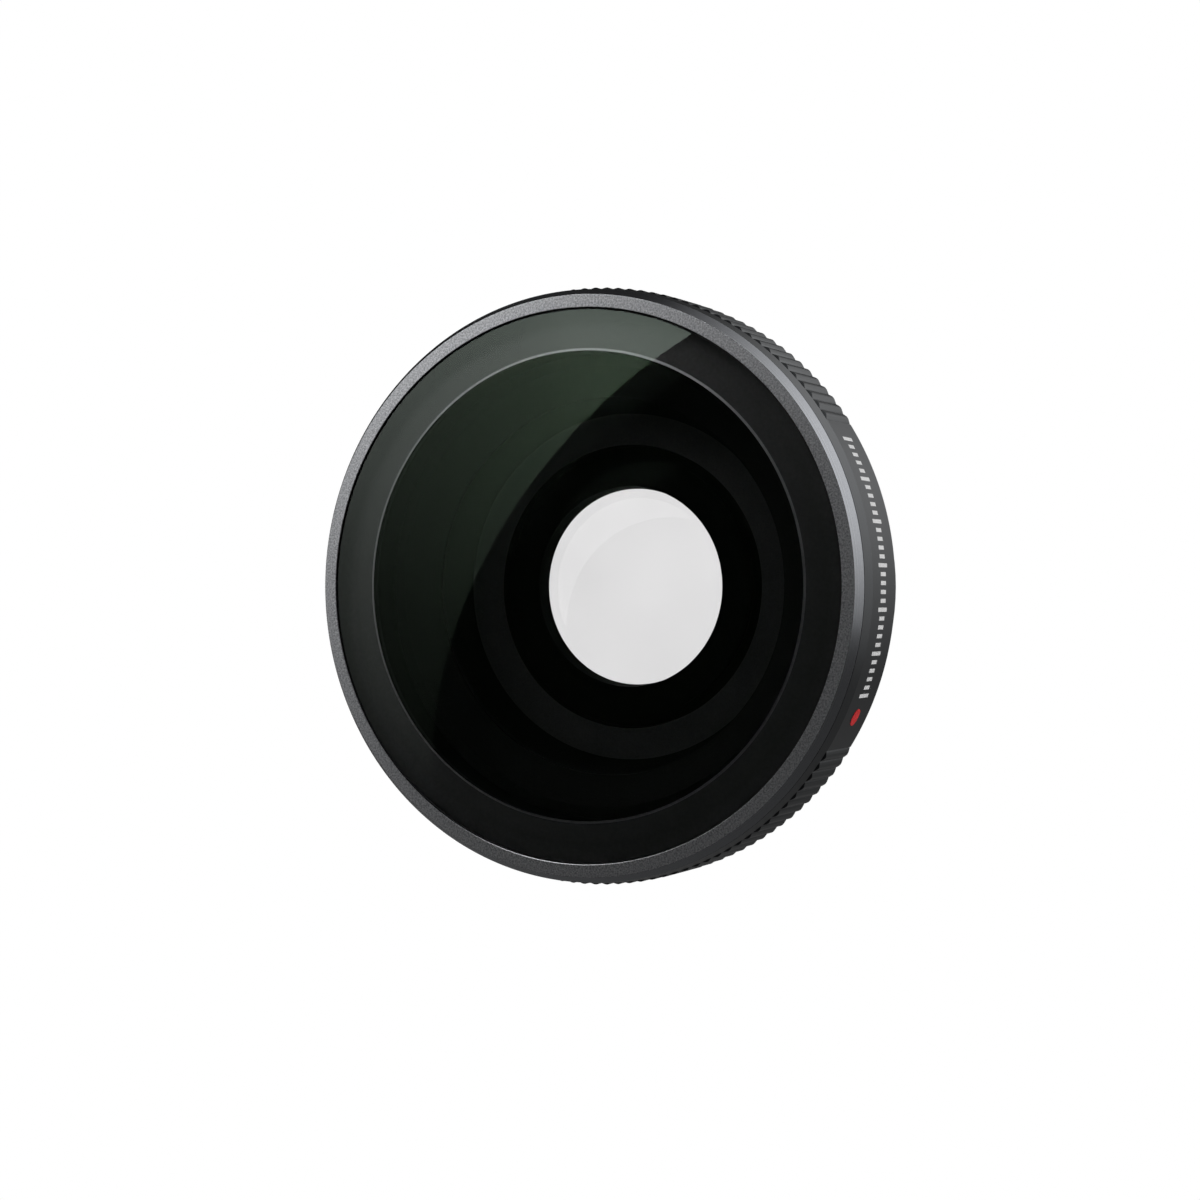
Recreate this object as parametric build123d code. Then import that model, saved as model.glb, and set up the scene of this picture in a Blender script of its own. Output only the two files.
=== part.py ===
from build123d import *
import math
import os

# Wide-angle conversion lens with a twist-lock grip ring. Millimetres.
# The optical axis is Y, the front glass faces -Y and the camera sits on the +Y side.
# The origin is on the axis, in the plane of the rear end face of the barrel.
# A depth is measured along the axis, backwards from the front face of the bezel.

# Fits
running_clearance = 0.03
thread_clearance = 0.03
cell_clearance = 0.04
collar_clearance = 0.10
axial_play = 0.08
seam_gap = 0.08
small_gap = 0.02

# Bezel
bezel_opening_radius = 22.17
bezel_face_width = 1.03
bezel_chamfer_width = 0.52
bezel_chamfer_depth = 0.86
bezel_lip = 0.85
bezel_lip_overlap = 0.48
bezel_skirt_wall = 0.45
opening_edge_chamfer = 0.08

# Front glass, a domed meniscus with a stepped edge
glass_edge_depth = 0.05
glass_edge_thickness = 2.00
front_dome_curvature = 60.0
front_glass_thickness = 2.50
glass_bevel = 0.10
front_seal_leg = 0.22
front_seal_thickness = 0.15

# Trim ring between the front glass and the barrel
trim_face_width = 3.65
trim_chamfer = 0.26
trim_thickness = 0.60
trim_seat_inset = 0.48

# Barrel
nose_length = 1.95
barrel_mouth_step = 0.08
bearing_wall = 1.00
circlip_groove_depth = 0.60
circlip_land = 0.30
tail_step = 1.00
tail_wall = 2.10
tail_end_chamfer = 0.30
middle_seat_thickness = 0.80
pilot_length = 1.40

# O-ring in the barrel nose
o_ring_section_radius = 0.43
o_ring_setback = 0.90

# Front baffle, a cone that holds the middle element
baffle_rim_setback = 2.25
baffle_rim_width = 0.92
baffle_bore_step = 3.14
baffle_cone_depth = 1.72
baffle_land = 0.40

# Middle element
middle_rim_width = 1.82
middle_front_zone_inset = 0.18
middle_rear_rim_width = 2.95
middle_front_curvature = 160.0
middle_rear_curvature = 40.0
middle_edge_thickness = 5.80

# Aperture ring, with a boss that stands in the barrel's inner flange
aperture_step = 6.88
aperture_boss_wall = 2.52
aperture_boss_lead = 0.20
aperture_boss_gap = 0.86
aperture_flange_width = 0.52
aperture_flange_thickness = 0.50

# Cemented rear doublet
crown_front_curvature = 45.0
cement_curvature = 60.0
crown_edge_thickness = 0.45
flint_centre_thickness = 0.70

# Rear retainer, with two spanner slots
rear_retainer_width = 1.20
rear_retainer_thickness = 0.60
spanner_slot_width = 1.00
spanner_slot_depth = 0.35

# Camera seal, flush with the floor of the pilot bore
camera_seal_edge = 1.10
camera_seal_width = 1.60
camera_seal_thickness = 0.60

# Grip ring
collar_step = 0.02
collar_taper = 0.16
collar_length = 1.36
window_rise = 0.03
valley_drop = 0.06
ridge_height = 0.20
ridges_in_full_turn = 150
ridge_count = 123
relief_width = 0.15
relief_drop = 0.24
ridge_rear_chamfer = 0.25
envelope_margin = 0.10
grip_bearing_length = 3.02

# Index dot
index_dot_radius = 0.72
index_dot_angle = -25.4
index_dot_setback = 2.70
index_dot_pocket_depth = 0.39
index_dot_stand = 0.03

# Thrust washer
thrust_washer_thickness = 0.40
thrust_washer_width = 1.00

# Stop pin and its arc slot
lock_travel = 60.0
stop_pin_radius = 0.45
stop_pin_angle = 200.0
stop_pin_reach = 1.10
stop_pin_seat = 0.90
stop_slot_end_gap = 0.05
stop_slot_side_gap = 0.10
stop_slot_floor_gap = 0.30
washer_slot_gap = 0.07

# Circlip
circlip_thickness = 0.50
circlip_width = 1.38
circlip_gap_angle = 24.0
circlip_gap_middle = 90.0

# Claw ring
claw_flange_thickness = 1.30
claw_flange_edge = 0.30
circlip_room = 0.30
hub_clearance = 0.20
hub_wall = 0.95
web_gap = 0.12
web_thickness = 0.50
skirt_clearance = 0.30
skirt_wall = 0.80
tab_room = 1.30
claw_thickness = 0.80
claw_reach = 1.40
claw_count = 3
claw_angle = 48.0
claw_first_angle = 90.0
claw_end_chamfer = 0.20

# Claw ring screws
screw_count = 3
screw_first_angle = 30.0
screw_hub_gap = 0.25
screw_head_radius = 0.95
screw_head_height = 0.60
screw_head_clearance = 0.05
screw_shank_radius = 0.60
screw_thread_length = 1.50
screw_hole_tip_gap = 0.20
screw_recess_radius = 0.60
screw_recess_width = 0.30
screw_recess_depth = 0.30

# Locating pin in the rear face
locating_pin_radius = 0.60
locating_pin_angle = 270.0
locating_pin_reach = 0.90
locating_pin_seat = 1.40
locating_pin_chamfer = 0.15


def sag(curvature, radius):
    """Depth of a spherical surface between its middle and a rim."""
    return curvature - math.sqrt(curvature ** 2 - radius ** 2)


# Radii of the bezel and the front glass, from the opening outwards
bezel_face_radius = bezel_opening_radius + bezel_face_width
bezel_radius = bezel_face_radius + bezel_chamfer_width
bezel_bore_radius = bezel_opening_radius + bezel_lip_overlap
skirt_outer_radius = bezel_bore_radius + bezel_skirt_wall
nose_radius = bezel_bore_radius - thread_clearance
o_ring_groove_radius = bezel_bore_radius - 2 * (o_ring_section_radius + small_gap)
glass_edge_radius = bezel_opening_radius - front_seal_leg
glass_shoulder_radius = bezel_bore_radius - cell_clearance
trim_bore_radius = bezel_opening_radius - trim_face_width
front_rear_zone_radius = trim_bore_radius + trim_seat_inset

# Radii of the barrel and what it holds
barrel_mouth_radius = trim_bore_radius + barrel_mouth_step
bearing_radius = barrel_mouth_radius + bearing_wall
tail_radius = bearing_radius - tail_step
pilot_radius = tail_radius - tail_wall
locating_pin_ring_radius = (pilot_radius + tail_radius) / 2
baffle_radius = barrel_mouth_radius - thread_clearance
baffle_rim_radius = barrel_mouth_radius - baffle_rim_width
baffle_bore_radius = trim_bore_radius - baffle_bore_step
middle_radius = baffle_bore_radius + middle_rim_width
middle_pocket_radius = middle_radius + cell_clearance
middle_front_zone_radius = baffle_bore_radius - middle_front_zone_inset
middle_rear_zone_radius = middle_radius - middle_rear_rim_width
aperture_radius = baffle_bore_radius - aperture_step
aperture_boss_radius = aperture_radius + aperture_boss_wall
middle_seat_inner_radius = aperture_boss_radius + aperture_boss_gap
rear_cell_radius = middle_seat_inner_radius + aperture_flange_width
rear_glass_radius = rear_cell_radius - cell_clearance
rear_retainer_bore_radius = rear_cell_radius - rear_retainer_width
camera_seal_radius = pilot_radius - camera_seal_edge
camera_seal_inner_radius = camera_seal_radius - camera_seal_width

# Radii of the lock ring, its bearing and its claws
grip_bore_radius = bearing_radius + running_clearance
circlip_groove_radius = bearing_radius - circlip_groove_depth
circlip_radius = circlip_groove_radius + small_gap + circlip_width
circlip_room_radius = circlip_radius + circlip_room
thrust_washer_radius = grip_bore_radius + thrust_washer_width
stop_slot_half_width = stop_pin_radius + stop_slot_side_gap
stop_pin_ring_radius = thrust_washer_radius + washer_slot_gap + stop_slot_half_width
hub_bore_radius = bearing_radius + hub_clearance
hub_radius = hub_bore_radius + hub_wall
screw_ring_radius = hub_radius + screw_hub_gap + screw_head_radius + screw_head_clearance
claw_flange_radius = screw_ring_radius + screw_head_radius + screw_head_clearance + claw_flange_edge
claw_skirt_inner_radius = tail_radius + skirt_clearance
claw_skirt_radius = claw_skirt_inner_radius + skirt_wall
claw_tip_radius = claw_skirt_inner_radius - claw_reach
collar_bore_radius = skirt_outer_radius + collar_clearance
collar_front_radius = bezel_radius - collar_step
collar_rear_radius = collar_front_radius + collar_taper
window_radius = collar_rear_radius + window_rise
valley_radius = window_radius - valley_drop
ridge_radius = valley_radius + ridge_height
relief_radius = collar_rear_radius - relief_drop
envelope_radius = ridge_radius + envelope_margin
ridge_pitch = 360 / ridges_in_full_turn
window_half_angle = (ridges_in_full_turn - ridge_count) * ridge_pitch / 2

# Depths of the front group
glass_shoulder_depth = bezel_lip + front_seal_thickness
glass_seat_depth = glass_edge_depth + glass_edge_thickness
front_vertex_depth = glass_edge_depth - sag(front_dome_curvature, glass_edge_radius)
front_rear_vertex_depth = front_vertex_depth + front_glass_thickness
front_rear_sag = glass_seat_depth - front_rear_vertex_depth
front_rear_curvature = (front_rear_zone_radius ** 2 + front_rear_sag ** 2) / (2 * front_rear_sag)
nose_depth = glass_seat_depth + trim_thickness
flange_rear_depth = nose_depth + nose_length
bezel_skirt_end_depth = flange_rear_depth - seam_gap
o_ring_depth = nose_depth + o_ring_setback

# Depths of the middle and rear groups
baffle_rim_depth = nose_depth + baffle_rim_setback
baffle_cone_end_depth = baffle_rim_depth + baffle_cone_depth
middle_front_depth = baffle_cone_end_depth + baffle_land
middle_seat_depth = middle_front_depth + middle_edge_thickness
middle_flange_rear_depth = middle_seat_depth + middle_seat_thickness
doublet_seat_depth = middle_flange_rear_depth + aperture_flange_thickness
crown_vertex_depth = doublet_seat_depth + small_gap - sag(crown_front_curvature, aperture_radius)
crown_rim_depth = crown_vertex_depth + sag(crown_front_curvature, rear_glass_radius)
cement_rim_depth = crown_rim_depth + crown_edge_thickness
cement_vertex_depth = cement_rim_depth + sag(cement_curvature, rear_glass_radius)
flint_rear_depth = cement_vertex_depth + flint_centre_thickness
pilot_floor_depth = flint_rear_depth + rear_retainer_thickness
rear_face_depth = pilot_floor_depth + pilot_length

# Depths of the lock ring
collar_front_depth = bezel_chamfer_depth + seam_gap
collar_rear_depth = collar_front_depth + collar_length
ridge_start_depth = collar_rear_depth + relief_width
grip_shoulder_depth = flange_rear_depth + thrust_washer_thickness + axial_play
grip_rear_depth = grip_shoulder_depth + grip_bearing_length
circlip_depth = grip_rear_depth + axial_play
circlip_rear_depth = circlip_depth + circlip_thickness
bearing_land_end_depth = circlip_rear_depth + circlip_land
bearing_taper_end_depth = bearing_land_end_depth + bearing_radius - tail_radius
claw_flange_rear_depth = grip_rear_depth + claw_flange_thickness
circlip_room_end_depth = circlip_rear_depth + axial_play
web_front_depth = bearing_taper_end_depth + web_gap
web_rear_depth = web_front_depth + web_thickness
claw_front_depth = rear_face_depth + tab_room
claw_rear_depth = claw_front_depth + claw_thickness


def at(radius, depth):
    """A point of a turned profile, in the XY plane."""
    return (radius, depth - rear_face_depth)


def turned(points):
    """Solid of revolution from a closed profile of (radius, depth) points."""
    corners = [at(radius, depth) for radius, depth in points]
    profile = make_face(Polyline(*corners, close=True))
    return revolve(profile, Axis.Y, 360)


def around(radius, angle, depth):
    """Point at an angle round the axis, counted from +X towards +Z."""
    turn = math.radians(angle)
    return Vector(radius * math.cos(turn), depth - rear_face_depth, radius * math.sin(turn))


def facing_rear(radius, angle, depth):
    """Plane across the axis at a given place, with its normal towards the camera."""
    return Plane(origin=around(radius, angle, depth), x_dir=(1, 0, 0), z_dir=(0, 1, 0))


def post(radius, angle, start_depth, end_depth, post_radius):
    """Round post parallel to the axis between two depths."""
    plane = facing_rear(radius, angle, start_depth)
    return plane * Cylinder(post_radius, end_depth - start_depth,
                            align=(Align.CENTER, Align.CENTER, Align.MIN))


def dome(vertex_depth, curvature, rim_radius):
    """Arc of a lens surface from the axis to its rim; a positive curvature is centred behind."""
    size = abs(curvature)
    side = math.copysign(1, curvature)
    middle = rim_radius / 2
    return ThreePointArc(
        at(0, vertex_depth),
        at(middle, vertex_depth + side * sag(size, middle)),
        at(rim_radius, vertex_depth + side * sag(size, rim_radius)))


def ground_glass(front_arc, edge_points, rear_arc):
    """Lens turned from its two polished arcs and the ground edge between them."""
    edge = [front_arc @ 1] + [at(radius, depth) for radius, depth in edge_points] + [rear_arc @ 1]
    edge_line = Polyline(*edge)
    axis_line = Line(rear_arc @ 0, front_arc @ 0)
    profile = make_face([front_arc, edge_line, rear_arc, axis_line])
    return revolve(profile, Axis.Y, 360)


def sector_points(radius, start_angle, end_angle):
    """Start, middle and end of an arc round the axis, in a plane across it."""
    angles = (start_angle, (start_angle + end_angle) / 2, end_angle)
    return [(radius * math.cos(math.radians(a)), radius * math.sin(math.radians(a))) for a in angles]


def across(depth):
    """Plane across the axis whose local X is +X and local Y is +Z, so its normal is -Y."""
    return Plane(origin=(0, depth - rear_face_depth, 0), x_dir=(1, 0, 0), z_dir=(0, -1, 0))


def extruded_back(lines, start_depth, end_depth):
    """Closed outline across the axis, extruded from one depth back to the next."""
    outline = across(start_depth) * make_face(lines)
    return extrude(outline, -(end_depth - start_depth))


def arc_block(inner_radius, outer_radius, start_angle, end_angle, start_depth, end_depth):
    """Block with curved inner and outer walls, round the axis."""
    inner = sector_points(inner_radius, start_angle, end_angle)
    outer = sector_points(outer_radius, start_angle, end_angle)
    lines = [ThreePointArc(*inner), Line(inner[2], outer[2]), ThreePointArc(*outer),
             Line(outer[0], inner[0])]
    return extruded_back(lines, start_depth, end_depth)


# Front group

def make_front_bezel():
    return turned([
        (bezel_opening_radius + opening_edge_chamfer, 0),
        (bezel_face_radius, 0),
        (bezel_radius, bezel_chamfer_depth),
        (skirt_outer_radius, bezel_chamfer_depth),
        (skirt_outer_radius, bezel_skirt_end_depth),
        (bezel_bore_radius, bezel_skirt_end_depth),
        (bezel_bore_radius, bezel_lip),
        (bezel_opening_radius, bezel_lip),
        (bezel_opening_radius, opening_edge_chamfer),
    ])


def make_front_seal():
    """Black gasket: a leg round the glass edge and a flat under the bezel lip."""
    return turned([
        (glass_edge_radius + small_gap, glass_edge_depth + glass_bevel),
        (bezel_opening_radius - small_gap, glass_edge_depth + glass_bevel),
        (bezel_opening_radius - small_gap, bezel_lip),
        (glass_shoulder_radius, bezel_lip),
        (glass_shoulder_radius, glass_shoulder_depth),
        (glass_edge_radius + small_gap, glass_shoulder_depth),
    ])


def make_front_element():
    front_arc = dome(front_vertex_depth, front_dome_curvature, glass_edge_radius - glass_bevel)
    rear_arc = dome(front_rear_vertex_depth, front_rear_curvature, front_rear_zone_radius)
    edge = [
        (glass_edge_radius, glass_edge_depth + glass_bevel),
        (glass_edge_radius, glass_shoulder_depth),
        (glass_shoulder_radius, glass_shoulder_depth),
        (glass_shoulder_radius, glass_seat_depth),
    ]
    return ground_glass(front_arc, edge, rear_arc)


def make_front_trim_ring():
    return turned([
        (trim_bore_radius + trim_chamfer, glass_seat_depth),
        (glass_shoulder_radius, glass_seat_depth),
        (glass_shoulder_radius, nose_depth),
        (trim_bore_radius, nose_depth),
        (trim_bore_radius, glass_seat_depth + trim_chamfer),
    ])


def make_bezel_o_ring():
    centre_radius = bezel_bore_radius - o_ring_section_radius - small_gap
    section = Pos(*at(centre_radius, o_ring_depth)) * Circle(o_ring_section_radius)
    return revolve(section, Axis.Y, 360)


# Barrel

def make_main_barrel():
    barrel = turned([
        (barrel_mouth_radius, nose_depth),
        (nose_radius, nose_depth),
        (nose_radius, flange_rear_depth),
        (bearing_radius, flange_rear_depth),
        (bearing_radius, circlip_depth),
        (circlip_groove_radius, circlip_depth),
        (circlip_groove_radius, circlip_rear_depth),
        (bearing_radius, circlip_rear_depth),
        (bearing_radius, bearing_land_end_depth),
        (tail_radius, bearing_taper_end_depth),
        (tail_radius, rear_face_depth - tail_end_chamfer),
        (tail_radius - tail_end_chamfer, rear_face_depth),
        (pilot_radius, rear_face_depth),
        (pilot_radius, pilot_floor_depth),
        (camera_seal_radius, pilot_floor_depth),
        (camera_seal_radius, pilot_floor_depth - camera_seal_thickness),
        (camera_seal_inner_radius, pilot_floor_depth - camera_seal_thickness),
        (camera_seal_inner_radius, pilot_floor_depth),
        (rear_cell_radius, pilot_floor_depth),
        (rear_cell_radius, middle_flange_rear_depth),
        (middle_seat_inner_radius, middle_flange_rear_depth),
        (middle_seat_inner_radius, middle_seat_depth),
        (middle_pocket_radius, middle_seat_depth),
        (middle_pocket_radius, middle_front_depth),
        (barrel_mouth_radius, middle_front_depth),
    ])
    barrel -= make_o_ring_groove()
    barrel -= post(stop_pin_ring_radius, stop_pin_angle, flange_rear_depth - stop_pin_seat,
                   flange_rear_depth, stop_pin_radius + small_gap)
    barrel -= post(locating_pin_ring_radius, locating_pin_angle, rear_face_depth - locating_pin_seat,
                   rear_face_depth, locating_pin_radius + small_gap)
    return barrel


def make_o_ring_groove():
    half_width = o_ring_section_radius + small_gap
    return turned([
        (o_ring_groove_radius, o_ring_depth - half_width),
        (bezel_bore_radius, o_ring_depth - half_width),
        (bezel_bore_radius, o_ring_depth + half_width),
        (o_ring_groove_radius, o_ring_depth + half_width),
    ])


def make_front_baffle():
    return turned([
        (baffle_rim_radius, baffle_rim_depth),
        (baffle_radius, baffle_rim_depth),
        (baffle_radius, middle_front_depth),
        (baffle_bore_radius, middle_front_depth),
        (baffle_bore_radius, baffle_cone_end_depth),
    ])


def make_middle_element():
    front_vertex = middle_front_depth - sag(middle_front_curvature, middle_front_zone_radius)
    rear_vertex = middle_seat_depth - sag(middle_rear_curvature, middle_rear_zone_radius)
    front_arc = dome(front_vertex, middle_front_curvature, middle_front_zone_radius)
    rear_arc = dome(rear_vertex, middle_rear_curvature, middle_rear_zone_radius)
    edge = [
        (middle_radius - glass_bevel, middle_front_depth),
        (middle_radius, middle_front_depth + glass_bevel),
        (middle_radius, middle_seat_depth - glass_bevel),
        (middle_radius - glass_bevel, middle_seat_depth),
    ]
    return ground_glass(front_arc, edge, rear_arc)


# Rear group

def make_aperture_ring():
    boss_front = middle_seat_depth - aperture_boss_lead
    return turned([
        (aperture_radius, boss_front),
        (aperture_boss_radius, boss_front),
        (aperture_boss_radius, middle_flange_rear_depth),
        (rear_glass_radius, middle_flange_rear_depth),
        (rear_glass_radius, doublet_seat_depth),
        (aperture_radius, doublet_seat_depth),
    ])


def make_rear_crown_element():
    front_arc = dome(crown_vertex_depth, crown_front_curvature, rear_glass_radius)
    rear_arc = dome(cement_vertex_depth, -cement_curvature, rear_glass_radius)
    return ground_glass(front_arc, [], rear_arc)


def make_rear_flint_element():
    front_arc = dome(cement_vertex_depth, -cement_curvature, rear_glass_radius)
    rear_face = Line(at(0, flint_rear_depth), at(rear_glass_radius, flint_rear_depth))
    return ground_glass(front_arc, [], rear_face)


def make_rear_retainer():
    retainer = turned([
        (rear_retainer_bore_radius, flint_rear_depth),
        (rear_cell_radius - thread_clearance, flint_rear_depth),
        (rear_cell_radius - thread_clearance, pilot_floor_depth),
        (rear_retainer_bore_radius, pilot_floor_depth),
    ])
    slot_middle = pilot_floor_depth - spanner_slot_depth / 2
    slot = Box(2 * rear_cell_radius, spanner_slot_depth, spanner_slot_width)
    return retainer - Pos(0, slot_middle - rear_face_depth, 0) * slot


def make_camera_seal():
    inner = camera_seal_inner_radius + small_gap
    outer = camera_seal_radius - small_gap
    return turned([
        (inner, pilot_floor_depth - camera_seal_thickness),
        (outer, pilot_floor_depth - camera_seal_thickness),
        (outer, pilot_floor_depth),
        (inner, pilot_floor_depth),
    ])


# Lock mechanism

def make_thrust_washer():
    washer_rear = flange_rear_depth + thrust_washer_thickness
    return turned([
        (grip_bore_radius, flange_rear_depth),
        (thrust_washer_radius, flange_rear_depth),
        (thrust_washer_radius, washer_rear),
        (grip_bore_radius, washer_rear),
    ])


def make_stop_pin():
    return post(stop_pin_ring_radius, stop_pin_angle, flange_rear_depth - stop_pin_seat,
                grip_shoulder_depth + stop_pin_reach, stop_pin_radius)


def make_ring_circlip():
    clip = turned([
        (circlip_groove_radius + small_gap, circlip_depth),
        (circlip_radius, circlip_depth),
        (circlip_radius, circlip_rear_depth),
        (circlip_groove_radius + small_gap, circlip_rear_depth),
    ])
    half_gap = circlip_gap_angle / 2
    gap = arc_block(circlip_groove_radius - circlip_room, circlip_room_radius,
                    circlip_gap_middle - half_gap, circlip_gap_middle + half_gap,
                    circlip_depth - axial_play, circlip_room_end_depth)
    return clip - gap


def make_locating_pin():
    pin = post(locating_pin_ring_radius, locating_pin_angle, rear_face_depth - locating_pin_seat,
               rear_face_depth + locating_pin_reach, locating_pin_radius)
    tip = pin.edges().filter_by(GeomType.CIRCLE).sort_by(Axis.Y)[-1]
    return chamfer(tip, locating_pin_chamfer)


# Lock ring

def ridge_outline():
    """Ridges round most of the turn, and the smooth window as one arc."""
    points = []
    for index in range(ridge_count):
        start = window_half_angle + index * ridge_pitch
        points.append(sector_points(valley_radius, start, start)[0])
        peak = start + ridge_pitch / 2
        points.append(sector_points(ridge_radius, peak, peak)[0])
    points.append(sector_points(valley_radius, -window_half_angle, -window_half_angle)[0])
    window = sector_points(window_radius, -window_half_angle, window_half_angle)
    return [Polyline(*points), Line(points[-1], window[0]), ThreePointArc(*window),
            Line(window[2], points[0])]


def relief_outline():
    """Groove that frees the front ends of the ridges, outside the window."""
    groove = sector_points(relief_radius, window_half_angle, 360 - window_half_angle)
    window = sector_points(window_radius, -window_half_angle, window_half_angle)
    return [ThreePointArc(*groove), Line(groove[2], window[0]), ThreePointArc(*window),
            Line(window[2], groove[0])]


def make_stop_slot():
    end_angle = math.degrees((stop_pin_radius + stop_slot_end_gap) / stop_pin_ring_radius)
    floor_depth = grip_shoulder_depth + stop_pin_reach + stop_slot_floor_gap
    return arc_block(stop_pin_ring_radius - stop_slot_half_width,
                     stop_pin_ring_radius + stop_slot_half_width,
                     stop_pin_angle - end_angle, stop_pin_angle + lock_travel + end_angle,
                     grip_shoulder_depth, floor_depth)


def make_grip_ring():
    ridges = extruded_back(ridge_outline(), ridge_start_depth, grip_rear_depth)
    relief = extruded_back(relief_outline(), collar_rear_depth, ridge_start_depth)
    front_slope = envelope_radius - window_radius
    rear_slope = ridge_rear_chamfer + envelope_margin
    envelope = turned([
        (grip_bore_radius, collar_rear_depth),
        (window_radius, collar_rear_depth),
        (window_radius, ridge_start_depth),
        (envelope_radius, ridge_start_depth + front_slope),
        (envelope_radius, grip_rear_depth - rear_slope),
        (envelope_radius - rear_slope, grip_rear_depth),
        (grip_bore_radius, grip_rear_depth),
    ])
    ring = (ridges + relief) & envelope
    ring += turned([
        (collar_bore_radius, collar_front_depth),
        (collar_front_radius, collar_front_depth),
        (collar_rear_radius, collar_rear_depth),
        (collar_bore_radius, collar_rear_depth),
    ])
    ring -= turned([
        (0, collar_rear_depth),
        (collar_bore_radius, collar_rear_depth),
        (collar_bore_radius, grip_shoulder_depth),
        (0, grip_shoulder_depth),
    ])
    ring -= make_stop_slot()
    for angle in screw_angles():
        ring -= post(screw_ring_radius, angle,
                     grip_rear_depth - screw_thread_length - screw_hole_tip_gap,
                     grip_rear_depth, screw_shank_radius + small_gap)
    return ring - dot_cylinder(index_dot_radius + small_gap, ridge_radius)


def dot_cylinder(radius, top_radius):
    """Short cylinder standing outwards from the floor of the index dot's pocket."""
    floor_radius = window_radius - index_dot_pocket_depth
    depth = collar_rear_depth + index_dot_setback
    foot = around(floor_radius, index_dot_angle, depth)
    outward = around(1, index_dot_angle, rear_face_depth)
    plane = Plane(origin=foot, x_dir=(0, 1, 0), z_dir=outward)
    return plane * Cylinder(radius, top_radius - floor_radius,
                            align=(Align.CENTER, Align.CENTER, Align.MIN))


def make_index_dot():
    return dot_cylinder(index_dot_radius, window_radius + index_dot_stand)


def screw_angles():
    return [screw_first_angle + index * 360 / screw_count for index in range(screw_count)]


def make_claw_ring():
    ring = turned([
        (circlip_room_radius, grip_rear_depth),
        (claw_flange_radius, grip_rear_depth),
        (claw_flange_radius, claw_flange_rear_depth - claw_end_chamfer),
        (claw_flange_radius - claw_end_chamfer, claw_flange_rear_depth),
        (hub_radius, claw_flange_rear_depth),
        (hub_radius, web_rear_depth - claw_end_chamfer),
        (hub_radius - claw_end_chamfer, web_rear_depth),
        (claw_skirt_radius, web_rear_depth),
        (claw_skirt_radius, claw_rear_depth - claw_end_chamfer),
        (claw_skirt_radius - claw_end_chamfer, claw_rear_depth),
        (claw_skirt_inner_radius, claw_rear_depth),
        (claw_skirt_inner_radius, web_front_depth),
        (hub_bore_radius, web_front_depth),
        (hub_bore_radius, circlip_room_end_depth),
        (circlip_room_radius, circlip_room_end_depth),
    ])
    root_radius = (claw_skirt_inner_radius + claw_skirt_radius) / 2
    for index in range(claw_count):
        middle = claw_first_angle + index * 360 / claw_count
        ring += arc_block(claw_tip_radius, root_radius, middle - claw_angle / 2,
                          middle + claw_angle / 2, claw_front_depth, claw_rear_depth)
    for angle in screw_angles():
        ring -= post(screw_ring_radius, angle, grip_rear_depth, claw_flange_rear_depth,
                     screw_shank_radius + screw_head_clearance)
        ring -= post(screw_ring_radius, angle, claw_flange_rear_depth - screw_head_height,
                     claw_flange_rear_depth, screw_head_radius + screw_head_clearance)
    return ring


def make_screw(angle):
    """Pan-head screw with a cross recess, seated in the claw ring's flange."""
    head_front = claw_flange_rear_depth - screw_head_height
    screw = post(screw_ring_radius, angle, head_front, claw_flange_rear_depth, screw_head_radius)
    screw += post(screw_ring_radius, angle, grip_rear_depth - screw_thread_length,
                  claw_flange_rear_depth, screw_shank_radius)
    head_face = facing_rear(screw_ring_radius, angle, claw_flange_rear_depth)
    slot = Box(2 * screw_recess_radius, screw_recess_width, 2 * screw_recess_depth)
    return screw - head_face * slot - head_face * Rot(0, 0, 90) * slot


def make_claw_ring_screws():
    return Compound(children=[make_screw(angle) for angle in screw_angles()])


parts = {
    "front_bezel": make_front_bezel(),
    "front_seal": make_front_seal(),
    "front_element": make_front_element(),
    "front_trim_ring": make_front_trim_ring(),
    "bezel_o_ring": make_bezel_o_ring(),
    "main_barrel": make_main_barrel(),
    "front_baffle": make_front_baffle(),
    "middle_element": make_middle_element(),
    "aperture_ring": make_aperture_ring(),
    "rear_crown_element": make_rear_crown_element(),
    "rear_flint_element": make_rear_flint_element(),
    "rear_retainer": make_rear_retainer(),
    "camera_seal": make_camera_seal(),
    "thrust_washer": make_thrust_washer(),
    "stop_pin": make_stop_pin(),
    "ring_circlip": make_ring_circlip(),
    "locating_pin": make_locating_pin(),
    "grip_ring": make_grip_ring(),
    "index_dot": make_index_dot(),
    "claw_ring": make_claw_ring(),
    "claw_ring_screws": make_claw_ring_screws(),
}

os.makedirs("parts", exist_ok=True)
for name, shape in parts.items():
    export_step(shape, os.path.join("parts", name + ".step"))

print("front dome vertex", round(front_vertex_depth - rear_face_depth, 3))
print("bezel front face", round(-rear_face_depth, 3))
print("pilot bore from", round(pilot_floor_depth - rear_face_depth, 3), "to 0")
print("claw ring rear", round(claw_rear_depth - rear_face_depth, 3))
print("claw ring skirt radius", round(claw_skirt_radius, 3))
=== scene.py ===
import math

import bmesh
import bpy
from mathutils import Matrix, Vector


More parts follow.
